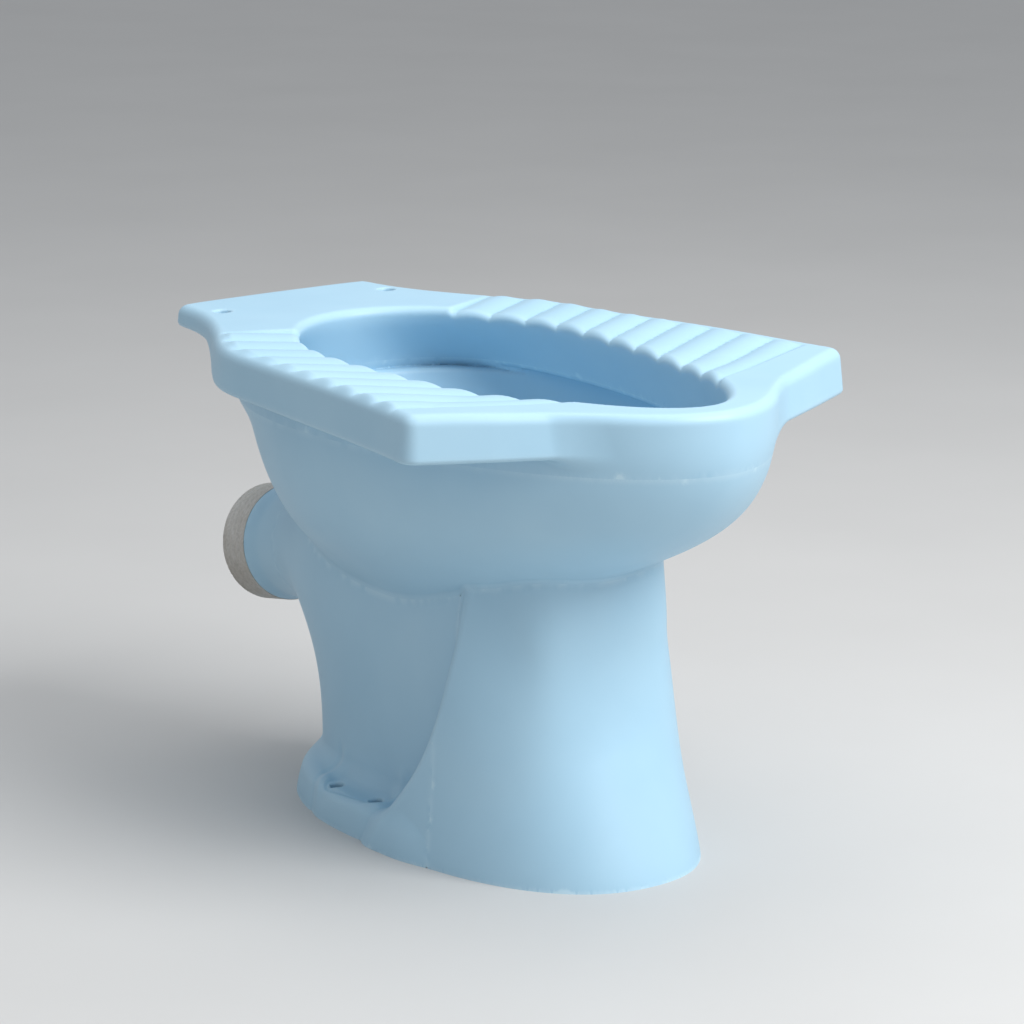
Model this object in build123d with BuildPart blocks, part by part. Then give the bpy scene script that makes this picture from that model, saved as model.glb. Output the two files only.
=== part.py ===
from build123d import *
import os
from math import atan2, copysign, cos, degrees, hypot, pi, radians, sin, sqrt

os.makedirs("parts", exist_ok=True)

# Pedestal pan with a flat squat-or-sit top: a wide platform with a ribbed foot tread
# on each side of an egg-shaped opening, a bowl under it, a pedestal in front, a
# narrower trap body behind with a fixing ledge on each side, and an outlet spigot
# at the rear.  x = 0 is the plane of symmetry, the nose points to -y, z is up and
# the pan stands on z = 0.  Section depths are given from the seat-bolt line.

# ---- overall -------------------------------------------------------------
SEAT_Y = 248.6            # the seat-bolt line, ahead of the frame's origin
TOP_Z = 396.0             # top of the platform
SLAB_UNDER_Z = 376.0      # underside of the rear shelf
TREAD_UNDER_Z = 360.0     # underside of the tread edges
RIM_FLOOR_TOP_Z = 353.0   # top of the channel floor
RIM_FLOOR_Z = 345.0       # underside of the channel floor, top of the bowl
NOSE_Y = -565.0           # front of the nose
WALL = 11.0               # bowl wall
SHELL = 10.0              # pedestal and trap body wall

# ---- rear shelf and treads -------------------------------------------------
SEAT_HOLE_X = 84.8        # half the spacing of the seat-bolt holes
SEAT_HOLE_R = 7.0
REAR_EDGE_Y = 55.0
TREAD_CORNER = (212.0, -446.0)
NOSE_JOIN = (92.0, -506.0)
EDGE_R = 7.0              # rounding of the platform's top edge
RIB_COUNT = 10
RIB_PITCH = 37.0          # along y
RIB_FIRST_Y = -446.0      # first valley, at the opening's edge
RIB_HEIGHT = 3.0
RIB_ANGLE = 28.0          # the ribs run outwards and rearwards
TREAD_DISH = 9.0          # the treads' inner edge lies this much lower
TREAD_IN_X = 112.0
TREAD_OUT_X = 176.0

# ---- opening ---------------------------------------------------------------
OPEN_TOP = (114.0, -531.0, -64.0, -225.0, 1.9, 2.05)      # half width, front, rear, widest
OPEN_LOW = (131.0, -515.0, -52.0, -215.0, 1.8, 3.0)

# ---- bowl, outside: z, half width, front, rear, widest line ----------------
BOWL_OUT = [
    (345.0, 171.5, -561.5, -42.0, -250.0),
    (312.0, 168.5, -544.0, -53.5, -250.0),
    (280.0, 158.0, -507.0, -66.0, -250.0),
    (250.0, 138.5, -448.5, -71.5, -250.0),
    (222.0, 111.0, -383.5, -76.0, -250.0),
    (196.0, 80.0, -324.0, -92.0, -240.0),
]
# ---- bowl, inside ----------------------------------------------------------
BOWL_IN = [
    (345.0, 160.5, -549.5, -54.0, -250.0),
    (312.0, 157.5, -530.0, -68.0, -250.0),
    (280.0, 147.0, -492.0, -88.0, -250.0),
    (250.0, 126.5, -432.0, -112.0, -250.0),
    (222.0, 97.0, -364.0, -140.0, -246.0),
    (196.0, 61.0, -306.0, -162.0, -236.0),
]
# ---- the well under the bowl, outside and inside ---------------------------
WELL_OUT = [
    (196.0, 70.0, -316.0, -152.0, -236.0),
    (160.0, 56.0, -286.0, -166.0, -226.0),
    (112.0, 47.0, -270.0, -176.0, -223.0),
]
WELL_IN = [
    (196.0, 61.0, -306.0, -162.0, -236.0),
    (160.0, 46.0, -274.0, -176.0, -226.0),
    (112.0, 38.0, -261.0, -185.0, -223.0),
]

# ---- pedestal: z, half width, front, rear, widest line, power --------------
FOOT_HALF_W = 122.4
FOOT_FRONT_Y = -473.6
FOOT_REAR_Y = -56.4
FOOT_MID_Y = -265.0
FOOT_POWER = 2.3
FOOT_H = 16.0
PEDESTAL = [
    (16.0, 121.0, -468.0, -272.0, 2.32),
    (60.0, 118.0, -450.0, -280.0, 2.36),
    (110.0, 114.0, -430.0, -292.0, 2.42),
    (170.0, 109.5, -409.0, -306.0, 2.50),
    (250.0, 106.0, -386.0, -322.0, 2.60),
]
SPLIT_Y = -335.0          # the pedestal's rear edge, where the side recess begins
# ---- trap body: z, half width, rear ---------------------------------------
TRAP_BODY = [
    (16.0, 85.0, -60.0),
    (55.0, 82.0, -73.0),
    (92.0, 82.0, -76.0),
    (140.0, 82.0, -64.0),
    (196.0, 82.0, -36.0),
]
TRAP_WIDE_Y = -210.0      # the sides run straight in front of this line
LEDGE_TOP_Z = 42.0
FIX_X = 98.0              # half the spacing of the fixing holes across the foot
FIX_Y = (-182.0, -237.0)
FIX_R = 5.5

# ---- trapway and outlet ----------------------------------------------------
BORE_R = 38.0
TUBE_R = 46.5
WELL_Y = -223.0           # the bowl's well
BEND_R = 45.0             # both bends, on the centre line
BEND_Z = 112.0            # centre of the lower bend
WEIR_Y = -87.5            # where the rising leg and the outlet's axis would meet
OUTLET_SLOPE = 9.8        # the outlet falls to the rear
SPIGOT_R = 51.0           # unglazed end
NECK_R = 49.5             # glazed part
SPIGOT_BORE_R = 42.0
GLAZE_END = (25.0, 177.0)  # the outlet's axis where the glaze ends
BARE_LENGTH = 34.5

# ---- flush inlet -----------------------------------------------------------
INLET_Z = 319.0
INLET_R = 25.0
INLET_BORE_R = 19.5
INLET_END_Y = 14.0
BOX_HALF_W = 36.0
BOX_REAR_Y = -20.0
BOX_LOW_Z = 286.0


def egg(half_w, front, rear, widest, nf=1.93, nr=2.15, count=20):
    """Closed egg outline: a superellipse half in front of the widest line, one behind."""
    points = []
    for i in range(count):
        t = 2 * pi * i / count
        c, s = cos(t), sin(t)
        e = nf if s < 0 else nr
        b = (widest - front) if s < 0 else (rear - widest)
        points.append((half_w * copysign(abs(c) ** (2 / e), c),
                       SEAT_Y + widest + b * copysign(abs(s) ** (2 / e), s)))
    return points


# ---- centre line of the trapway, in the plane x = 0 -------------------------
slope = radians(OUTLET_SLOPE)
axis_dir = (cos(slope), -sin(slope))
weir_z = GLAZE_END[1] + (GLAZE_END[0] - WEIR_Y) * sin(slope) / cos(slope)
bend_c = (WELL_Y + BEND_R, BEND_Z)
k = (WEIR_Y - bend_c[0], weir_z - bend_c[1])
reach = hypot(*k)
turn = atan2(k[1], k[0]) - radians(90) + atan2(sqrt(reach ** 2 - BEND_R ** 2), BEND_R) - radians(90)
tang = atan2(k[1], k[0]) - atan2(sqrt(reach ** 2 - BEND_R ** 2), BEND_R)
leg0 = (bend_c[0] + BEND_R * cos(tang), bend_c[1] + BEND_R * sin(tang))
leg_len = sqrt(reach ** 2 - BEND_R ** 2)
leg_dir = ((WEIR_Y - leg0[0]) / leg_len, (weir_z - leg0[1]) / leg_len)
half_turn = (atan2(leg_dir[1], leg_dir[0]) + slope) / 2
cut = BEND_R * sin(half_turn) / cos(half_turn)
leg1 = (WEIR_Y - leg_dir[0] * cut, weir_z - leg_dir[1] * cut)
out0 = (WEIR_Y + axis_dir[0] * cut, weir_z + axis_dir[1] * cut)
print("rising leg from", leg0, "to", leg1, "outlet from", out0)


def yz(p):
    return (0, SEAT_Y + p[0], p[1])


trap_start = Plane(origin=yz((WELL_Y, BEND_Z)), x_dir=(1, 0, 0), z_dir=(0, 0, -1))
spigot_plane = Plane(origin=yz(out0), x_dir=(1, 0, 0), z_dir=(0, axis_dir[0], axis_dir[1]))
bare_plane = Plane(origin=yz(GLAZE_END), x_dir=(1, 0, 0), z_dir=(0, axis_dir[0], axis_dir[1]))
spigot_len = hypot(GLAZE_END[0] - out0[0], GLAZE_END[1] - out0[1])

with BuildLine() as trap_path:
    low = CenterArc(yz(bend_c), BEND_R, 0, 10, mode=Mode.PRIVATE)
    mid_t = (pi + (tang + 2 * pi)) / 2
    ThreePointArc(yz((WELL_Y, BEND_Z)),
                  yz((bend_c[0] + BEND_R * cos(mid_t), bend_c[1] + BEND_R * sin(mid_t))),
                  yz(leg0))
    Line(yz(leg0), yz(leg1))
    TangentArc(yz(leg1), yz(out0), tangent=(0, leg_dir[0], leg_dir[1]))

with BuildPart() as tube_solid:
    with BuildSketch(trap_start):
        Circle(TUBE_R)
    sweep(path=trap_path.wires()[0])
with BuildPart() as bore_solid:
    with BuildSketch(trap_start):
        Circle(BORE_R)
    sweep(path=trap_path.wires()[0])

# ---- trapway: the water's way from the well, under the dip and over the weir
with BuildPart() as trapway:
    add(tube_solid.part)
    add(bore_solid.part, mode=Mode.SUBTRACT)
trapway.part.label = "trapway"

# ---- bowl -------------------------------------------------------------------
with BuildPart() as bowl_outside:
    for z, half_w, front, rear, widest in BOWL_OUT:
        with BuildSketch(Plane.XY.offset(z)):
            with BuildLine():
                Spline(*egg(half_w, front, rear, widest), periodic=True)
            make_face()
    loft()
with BuildPart() as bowl_inside:
    for z, half_w, front, rear, widest in BOWL_IN:
        with BuildSketch(Plane.XY.offset(z)):
            with BuildLine():
                Spline(*egg(half_w, front, rear, widest), periodic=True)
            make_face()
    loft()
with BuildPart() as well_inside:
    for z, half_w, front, rear, widest in WELL_IN:
        with BuildSketch(Plane.XY.offset(z)):
            with BuildLine():
                Spline(*egg(half_w, front, rear, widest), periodic=True)
            make_face()
    loft()
with BuildPart() as bowl:
    for z, half_w, front, rear, widest in WELL_OUT:
        with BuildSketch(Plane.XY.offset(z)):
            with BuildLine():
                Spline(*egg(half_w, front, rear, widest), periodic=True)
            make_face()
    loft()
    add(bowl_outside.part)
    add(bowl_inside.part, mode=Mode.SUBTRACT)
    add(well_inside.part, mode=Mode.SUBTRACT)
    add(tube_solid.part, mode=Mode.SUBTRACT)
bowl.part.label = "bowl"

# ---- outlet spigot, glazed part ---------------------------------------------
with BuildPart() as spigot_solid:
    with BuildSketch(spigot_plane):
        Circle(NECK_R)
    extrude(amount=spigot_len)
with BuildPart() as outlet_spigot:
    with BuildSketch(spigot_plane):
        Circle(NECK_R)
        Circle(BORE_R, mode=Mode.SUBTRACT)
    extrude(amount=spigot_len)
outlet_spigot.part.label = "outlet_spigot"

# ---- outlet spigot, unglazed end ------------------------------------
with BuildPart() as spigot_end:
    with BuildSketch(bare_plane):
        Circle(SPIGOT_R)
        Circle(SPIGOT_BORE_R, mode=Mode.SUBTRACT)
    extrude(amount=BARE_LENGTH)
spigot_end.part.label = "spigot_end"

# ---- foot ring: the flange that the pan stands on ---------------------------
with BuildPart() as foot_ring:
    with BuildSketch(Plane.XY):
        with BuildLine():
            Spline(*egg(FOOT_HALF_W, FOOT_FRONT_Y, FOOT_REAR_Y, FOOT_MID_Y,
                        FOOT_POWER, FOOT_POWER), periodic=True)
        make_face()
    with BuildSketch(Plane.XY.offset(FOOT_H)):
        with BuildLine():
            Spline(*egg(121.0, -468.0, -60.0, FOOT_MID_Y, FOOT_POWER, FOOT_POWER), periodic=True)
        make_face()
    loft()
    with BuildSketch(Plane.XY):
        with BuildLine():
            Spline(*egg(FOOT_HALF_W - 50, FOOT_FRONT_Y + 26, FOOT_REAR_Y - 26, FOOT_MID_Y,
                        FOOT_POWER, FOOT_POWER), periodic=True)
        make_face()
    extrude(amount=FOOT_H, mode=Mode.SUBTRACT)
foot_ring.part.label = "foot_ring"

# ---- outer and inner form of the trap body, also used to trim its neighbours ----
def rear_half(half_w, rear, power=2.35, count=10):
    """Rear half of the trap body's section, from the left side round to the right."""
    return [(-half_w * copysign(abs(cos(pi * i / count)) ** (2 / power), cos(pi * i / count)),
             SEAT_Y + TRAP_WIDE_Y + (rear - TRAP_WIDE_Y) * abs(sin(pi * i / count)) ** (2 / power))
            for i in range(count + 1)]


with BuildPart() as trap_outside:
    for z, half_w, rear in TRAP_BODY:
        with BuildSketch(Plane.XY.offset(z)):
            with BuildLine():
                Spline(*rear_half(half_w, rear), tangents=[(0, 1), (0, -1)])
                Polyline((half_w, SEAT_Y + TRAP_WIDE_Y), (half_w, SEAT_Y + SPLIT_Y),
                         (-half_w, SEAT_Y + SPLIT_Y), (-half_w, SEAT_Y + TRAP_WIDE_Y))
            make_face()
    loft()
with BuildPart() as trap_inside:
    for z, half_w, rear in TRAP_BODY:
        with BuildSketch(Plane.XY.offset(z)):
            with BuildLine():
                Spline(*rear_half(half_w - SHELL, rear - SHELL), tangents=[(0, 1), (0, -1)])
                Polyline((half_w - SHELL, SEAT_Y + TRAP_WIDE_Y), (half_w - SHELL, SEAT_Y + SPLIT_Y - 5),
                         (SHELL - half_w, SEAT_Y + SPLIT_Y - 5), (SHELL - half_w, SEAT_Y + TRAP_WIDE_Y))
            make_face()
    loft()

# ---- front pedestal ---------------------------------------------------------
with BuildPart() as pedestal_hollow:
    for z, half_w, front, widest, power in PEDESTAL:
        with BuildSketch(Plane.XY.offset(z)):
            with BuildLine():
                Spline(*egg(half_w - SHELL, front + SHELL + 1.0, -110.0, widest, power, power),
                       periodic=True)
            make_face()
    loft()
    with BuildSketch(Plane.XY):
        with Locations((0, SEAT_Y + SPLIT_Y - SHELL + 200)):
            Rectangle(400, 400)
    extrude(amount=400, mode=Mode.SUBTRACT)
with BuildPart() as front_pedestal:
    for z, half_w, front, widest, power in PEDESTAL:
        with BuildSketch(Plane.XY.offset(z)):
            with BuildLine():
                Spline(*egg(half_w, front, -100.0, widest, power, power), periodic=True)
            make_face()
    loft()
    with BuildSketch(Plane.XY):
        with Locations((0, SEAT_Y + SPLIT_Y + 200)):
            Rectangle(400, 400)
    extrude(amount=400, mode=Mode.SUBTRACT)
    add(pedestal_hollow.part, mode=Mode.SUBTRACT)
    # opening back into the trap body, between the two side returns
    with BuildSketch(Plane.XY):
        with Locations((0, SEAT_Y + SPLIT_Y - SHELL / 2)):
            Rectangle(2 * 71.0, SHELL + 4)
    extrude(amount=400, mode=Mode.SUBTRACT)
    add(bowl_outside.part, mode=Mode.SUBTRACT)
front_pedestal.part.label = "front_pedestal"

# ---- trap body --------------------------------------------------------------
with BuildPart() as trap_body:
    add(trap_outside.part)
    add(trap_inside.part, mode=Mode.SUBTRACT)
    add(spigot_solid.part, mode=Mode.SUBTRACT)
    add(tube_solid.part, mode=Mode.SUBTRACT)
trap_body.part.label = "trap_body"

# ---- fixing ledges ----------------------------------------------------------
with BuildPart() as ledge_ring:
    with BuildSketch(Plane.XY.offset(FOOT_H)):
        with BuildLine():
            Spline(*egg(121.0, -468.0, -60.0, FOOT_MID_Y, FOOT_POWER, FOOT_POWER), periodic=True)
        make_face()
    with BuildSketch(Plane.XY.offset(LEDGE_TOP_Z)):
        with BuildLine():
            Spline(*egg(113.0, -455.0, -70.0, FOOT_MID_Y, FOOT_POWER, FOOT_POWER), periodic=True)
        make_face()
    loft()
with BuildPart() as fixing_ledge_left:
    add(ledge_ring.part)
    with BuildSketch(Plane.XY):
        with Locations((-100, SEAT_Y - 225)):
            Rectangle(100, 2 * (225 + SPLIT_Y) * -1)
    extrude(amount=100, mode=Mode.INTERSECT)
    add(trap_outside.part, mode=Mode.SUBTRACT)
    with BuildSketch(Plane.XY):
        with Locations(*[(-FIX_X, SEAT_Y + y) for y in FIX_Y]):
            Circle(FIX_R)
    extrude(amount=100, mode=Mode.SUBTRACT)
fixing_ledge_left.part.label = "fixing_ledge_left"
with BuildPart() as fixing_ledge_right:
    add(ledge_ring.part)
    with BuildSketch(Plane.XY):
        with Locations((100, SEAT_Y - 225)):
            Rectangle(100, 2 * (225 + SPLIT_Y) * -1)
    extrude(amount=100, mode=Mode.INTERSECT)
    add(trap_outside.part, mode=Mode.SUBTRACT)
    with BuildSketch(Plane.XY):
        with Locations(*[(FIX_X, SEAT_Y + y) for y in FIX_Y]):
            Circle(FIX_R)
    extrude(amount=100, mode=Mode.SUBTRACT)
fixing_ledge_right.part.label = "fixing_ledge_right"

# ---- the fixing holes go on down through the foot ring -----------------------
with BuildPart() as foot_drilled:
    add(foot_ring.part)
    with BuildSketch(Plane.XY):
        with Locations(*[(sx * FIX_X, SEAT_Y + y) for y in FIX_Y for sx in (-1, 1)]):
            Circle(FIX_R)
    extrude(amount=FOOT_H, mode=Mode.SUBTRACT)
foot_drilled.part.label = "foot_ring"

# ---- rim channel floor, with the flush holes under it -------------------------
RIM_OUT = (172.0, NOSE_Y, -8.0, -250.0)
with BuildPart() as rim_channel_floor:
    with BuildSketch(Plane.XY.offset(RIM_FLOOR_Z)):
        with BuildLine():
            Spline(*egg(RIM_OUT[0] - 0.5, NOSE_Y + 3.5, RIM_OUT[2], RIM_OUT[3]), periodic=True)
        make_face()
    with BuildSketch(Plane.XY.offset(RIM_FLOOR_TOP_Z)):
        with BuildLine():
            Spline(*egg(*RIM_OUT), periodic=True)
        make_face()
    loft()
    with BuildSketch(Plane.XY.offset(RIM_FLOOR_Z)):
        with BuildLine():
            Spline(*egg(*OPEN_LOW), periodic=True)
        make_face()
    extrude(amount=10, mode=Mode.SUBTRACT)
    with BuildSketch(Plane.XY.offset(RIM_FLOOR_Z)):
        with Locations(*[(1.115 * x, SEAT_Y - 225 + 1.05 * (y - SEAT_Y + 225))
                         for x, y in egg(128.0, -506.0, -66.0, -225.0, 1.9, 2.4, 24)
                         if y < SEAT_Y - 130]):
            Circle(3.0)
        with Locations((0, SEAT_Y - 30.5)):
            Rectangle(46, 13)
    extrude(amount=10, mode=Mode.SUBTRACT)
rim_channel_floor.part.label = "rim_channel_floor"


# ---- platform outline ----------------------------------------------------------
NECK = [(97.0, 42.0), (101.5, 24.0), (106.0, 5.0), (115.0, -24.0), (131.0, -58.0),
        (150.0, -92.0), (164.0, -117.0), (173.5, -139.0), (177.5, -160.0), (180.0, -205.0),
        (186.5, -265.0), (196.0, -346.0), (206.0, -418.0), TREAD_CORNER]
NOSE = [NOSE_JOIN, (79.0, -524.0), (62.0, -542.0), (38.0, -556.5), (16.0, -563.6), (0.0, NOSE_Y)]


def sy(p):
    return (p[0], SEAT_Y + p[1])


def platform_outline():
    """Right half of the platform's edge, from the rear corner to the nose, and its mirror."""
    Spline((0, SEAT_Y + REAR_EDGE_Y), (50, SEAT_Y + REAR_EDGE_Y - 1.2), (97, SEAT_Y + 42.0 + 8.0),
           tangents=[(1, 0), (1, -0.14)])
    Line((97, SEAT_Y + 50.0), sy(NECK[0]))
    Spline(*[sy(p) for p in NECK])
    Line(sy(TREAD_CORNER), sy(NOSE_JOIN))
    Spline(*[sy(p) for p in NOSE], tangents=[(-0.55, -0.84), (-1, 0)])
    mirror(about=Plane.YZ)


with BuildSketch() as outline:
    with BuildLine():
        platform_outline()
    make_face()
    fillet(outline.vertices().filter_by(lambda v: abs(abs(v.X) - 212) < 0.5), 13)
    fillet(outline.vertices().filter_by(lambda v: abs(abs(v.X) - 92) < 0.5), 14)
    fillet(outline.vertices().filter_by(lambda v: abs(abs(v.X) - 97) < 0.5
                                        and v.Y > SEAT_Y + 45), 7)

# ---- rim deck: platform, treads, inner and outer rim wall ------------------------
with BuildPart() as opening_cut:
    with BuildSketch(Plane.XY.offset(RIM_FLOOR_Z)):
        with BuildLine():
            Spline(*egg(*OPEN_LOW), periodic=True)
        make_face()
    with BuildSketch(Plane.XY.offset(TOP_Z - 8)):
        with BuildLine():
            Spline(*egg(*OPEN_TOP), periodic=True)
        make_face()
    with BuildSketch(Plane.XY.offset(TOP_Z + 4)):
        with BuildLine():
            Spline(*egg(OPEN_TOP[0] + 5, OPEN_TOP[1] - 4, OPEN_TOP[2] + 5, *OPEN_TOP[3:]), periodic=True)
        make_face()
    loft(ruled=True)

tilt = degrees(atan2(TREAD_DISH, TREAD_OUT_X - TREAD_IN_X))
tread_plane = Plane(origin=(TREAD_OUT_X, SEAT_Y - 290, TOP_Z - 0.2 - RIB_HEIGHT), x_dir=(cos(radians(tilt)), 0, sin(radians(tilt))),
                    z_dir=(-sin(radians(tilt)), 0, cos(radians(tilt))))

# one tread's dished field, right side
with BuildPart() as tread_field:
    with BuildSketch(Plane.XY.offset(TOP_Z - 30)):
        with BuildLine():
            Polyline((60, SEAT_Y - 480), (192, SEAT_Y - 424), (168, SEAT_Y - 172),
                     (104, SEAT_Y - 128), (60, SEAT_Y - 128), close=True)
        make_face()
    extrude(amount=60)
with BuildPart() as tread_cut:
    with BuildSketch(tread_plane):
        with Locations((-60, 0)):
            Rectangle(260, 460)
    extrude(amount=40)
    add(tread_field.part, mode=Mode.INTERSECT)

rib_dir = (cos(radians(RIB_ANGLE)), sin(radians(RIB_ANGLE)))
hump_w = RIB_PITCH * cos(radians(RIB_ANGLE))
hump_r = (hump_w ** 2 / 4 + RIB_HEIGHT ** 2) / (2 * RIB_HEIGHT)
with BuildPart() as ribs_right:
    for i in range(RIB_COUNT):
        y_mid = RIB_FIRST_Y + RIB_PITCH * (i - 0.5)
        foot = Plane(origin=(60, SEAT_Y + y_mid - (90 - 60) * rib_dir[1] / rib_dir[0],
                             TOP_Z - 0.2 - RIB_HEIGHT - (TREAD_OUT_X - 60) * sin(radians(tilt)) / cos(radians(tilt))),
                     x_dir=(-rib_dir[1], rib_dir[0], 0),
                     z_dir=(rib_dir[0] * cos(radians(tilt)), rib_dir[1] * cos(radians(tilt)),
                            rib_dir[0] * sin(radians(tilt))))
        with BuildSketch(foot):
            with Locations((0, RIB_HEIGHT - hump_r)):
                Circle(hump_r)
            with Locations((0, 10)):
                Rectangle(hump_w - 0.6, 20, mode=Mode.INTERSECT)
        extrude(amount=170)
    add(tread_field.part, mode=Mode.INTERSECT)
    with BuildSketch(Plane.XY.offset(TOP_Z)):
        with Locations((130, SEAT_Y - 300)):
            Rectangle(300, 600)
    extrude(amount=60, mode=Mode.SUBTRACT)

with BuildPart() as rim_deck:
    with BuildSketch(Plane.XY.offset(SLAB_UNDER_Z)):
        add(outline.sketch)
    extrude(amount=TOP_Z - SLAB_UNDER_Z)
    with BuildSketch(Plane.XY.offset(TREAD_UNDER_Z)):
        add(outline.sketch)
        with Locations((0, SEAT_Y - 120 - 250)):
            Rectangle(500, 500, mode=Mode.INTERSECT)
    extrude(amount=SLAB_UNDER_Z - TREAD_UNDER_Z)
    fillet(rim_deck.edges().group_by(Axis.Z)[-1], EDGE_R)
    with BuildSketch(Plane.XY.offset(RIM_FLOOR_TOP_Z)):
        with BuildLine():
            Spline(*egg(*RIM_OUT), periodic=True)
        make_face()
    extrude(amount=SLAB_UNDER_Z - RIM_FLOOR_TOP_Z + 4)
    # flush channel all round, open downwards onto its floor
    with BuildSketch(Plane.XY.offset(RIM_FLOOR_TOP_Z)):
        with BuildLine():
            Spline(*egg(RIM_OUT[0] - 9, NOSE_Y + 9, RIM_OUT[2] - 9, RIM_OUT[3]), periodic=True)
        make_face()
        with BuildLine():
            Spline(*egg(OPEN_LOW[0] + 8, OPEN_TOP[1] - 7, -44.0, -220.0, 1.85, 2.6), periodic=True)
        make_face(mode=Mode.SUBTRACT)
    extrude(amount=27, mode=Mode.SUBTRACT)
    # dished, ribbed treads
    for side in (1, -1):
        cutter = tread_cut.part if side > 0 else mirror(tread_cut.part, about=Plane.YZ, mode=Mode.PRIVATE)
        add(cutter, mode=Mode.SUBTRACT)
        ribs = ribs_right.part if side > 0 else mirror(ribs_right.part, about=Plane.YZ, mode=Mode.PRIVATE)
        add(ribs)
    add(opening_cut.part, mode=Mode.SUBTRACT)
    # hollow front corners of the treads, each drained through its underside
    with BuildSketch(Plane.XY.offset(TREAD_UNDER_Z + 11)):
        with BuildLine():
            Polyline((181, SEAT_Y - 330), (193, SEAT_Y - 428), (140, SEAT_Y - 455), (158, SEAT_Y - 400), close=True)
        make_face()
        mirror(about=Plane.YZ)
    extrude(amount=12, mode=Mode.SUBTRACT)
    with BuildSketch(Plane.XY.offset(TREAD_UNDER_Z - 1)):
        with Locations((-176, SEAT_Y - 415), (176, SEAT_Y - 415)):
            Circle(4)
    extrude(amount=14, mode=Mode.SUBTRACT)
    # seat-bolt holes
    with BuildSketch(Plane.XY.offset(SLAB_UNDER_Z - 1)):
        with Locations((-SEAT_HOLE_X, SEAT_Y), (SEAT_HOLE_X, SEAT_Y)):
            Circle(SEAT_HOLE_R)
    extrude(amount=40, mode=Mode.SUBTRACT)
rim_deck.part.label = "rim_deck"

# ---- flush box behind the bowl: turns the inlet's water up into the channel -------
with BuildPart() as flush_box:
    with BuildSketch(Plane.XY.offset(BOX_LOW_Z)):
        with Locations((0, SEAT_Y + (BOX_REAR_Y - 75) / 2)):
            RectangleRounded(2 * BOX_HALF_W, BOX_REAR_Y + 75, 8)
    extrude(amount=RIM_FLOOR_Z - BOX_LOW_Z)
    add(bowl_outside.part, mode=Mode.SUBTRACT)
    with BuildSketch(Plane.XY.offset(BOX_LOW_Z + 8)):
        with Locations((0, SEAT_Y + (BOX_REAR_Y - 8 - 40) / 2)):
            Rectangle(2 * BOX_HALF_W - 18, BOX_REAR_Y - 8 + 40)
    extrude(amount=RIM_FLOOR_Z - BOX_LOW_Z, mode=Mode.SUBTRACT)
    with BuildSketch(Plane(origin=(0, SEAT_Y + BOX_REAR_Y - 12, INLET_Z), x_dir=(1, 0, 0), z_dir=(0, 1, 0))):
        Circle(INLET_BORE_R - 2.5)
    extrude(amount=20, mode=Mode.SUBTRACT)
flush_box.part.label = "flush_box"

# ---- flush inlet ---------------------------------------------------------------
with BuildPart() as flush_inlet:
    with BuildSketch(Plane(origin=(0, SEAT_Y + BOX_REAR_Y, INLET_Z), x_dir=(1, 0, 0), z_dir=(0, 1, 0))):
        Circle(INLET_R)
        Circle(INLET_BORE_R, mode=Mode.SUBTRACT)
    extrude(amount=INLET_END_Y - BOX_REAR_Y)
flush_inlet.part.label = "flush_inlet"

export_step(rim_deck.part, "parts/rim_deck.step")
export_step(rim_channel_floor.part, "parts/rim_channel_floor.step")
export_step(bowl.part, "parts/bowl.step")
export_step(trapway.part, "parts/trapway.step")
export_step(outlet_spigot.part, "parts/outlet_spigot.step")
export_step(spigot_end.part, "parts/spigot_end.step")
export_step(front_pedestal.part, "parts/front_pedestal.step")
export_step(trap_body.part, "parts/trap_body.step")
export_step(foot_drilled.part, "parts/foot_ring.step")
export_step(fixing_ledge_left.part, "parts/fixing_ledge_left.step")
export_step(fixing_ledge_right.part, "parts/fixing_ledge_right.step")
export_step(flush_box.part, "parts/flush_box.step")
export_step(flush_inlet.part, "parts/flush_inlet.step")
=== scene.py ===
import math

import bpy
import numpy as np
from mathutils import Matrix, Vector


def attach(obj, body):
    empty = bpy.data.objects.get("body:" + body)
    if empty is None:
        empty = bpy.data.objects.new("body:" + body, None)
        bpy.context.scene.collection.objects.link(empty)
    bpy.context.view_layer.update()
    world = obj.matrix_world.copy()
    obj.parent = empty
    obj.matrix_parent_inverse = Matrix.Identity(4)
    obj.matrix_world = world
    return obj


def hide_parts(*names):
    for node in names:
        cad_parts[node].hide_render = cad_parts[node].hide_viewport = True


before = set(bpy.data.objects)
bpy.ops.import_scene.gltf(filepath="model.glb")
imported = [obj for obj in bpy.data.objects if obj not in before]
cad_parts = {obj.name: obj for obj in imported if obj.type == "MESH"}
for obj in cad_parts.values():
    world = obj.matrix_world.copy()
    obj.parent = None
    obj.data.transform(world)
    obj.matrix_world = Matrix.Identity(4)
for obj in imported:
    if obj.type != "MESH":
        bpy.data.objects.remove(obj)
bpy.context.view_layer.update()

# ---- camera -------------------------------------------------------------------
SEAT_Y = 248.6            # the seat-bolt line in the frame, mm; shapes below are drawn from it
cam_data = bpy.data.cameras.new("camera")
cam_data.sensor_width = 36.0
cam_data.lens = 3800.0 / 1024.0 * 36.0
cam_data.clip_end = 50.0
cam = bpy.data.objects.new("camera", cam_data)
bpy.context.scene.collection.objects.link(cam)
cam.location = (-1.7983763, -2.6531385 + SEAT_Y / 1000, 0.9917175)
az, el = math.radians(-37.2915), math.radians(13.7551)
back = Vector((math.sin(az) * math.cos(el), -math.cos(az) * math.cos(el), math.sin(el)))
cam.rotation_euler = (-back).to_track_quat("-Z", "Y").to_euler()
bpy.context.scene.camera = cam

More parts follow.
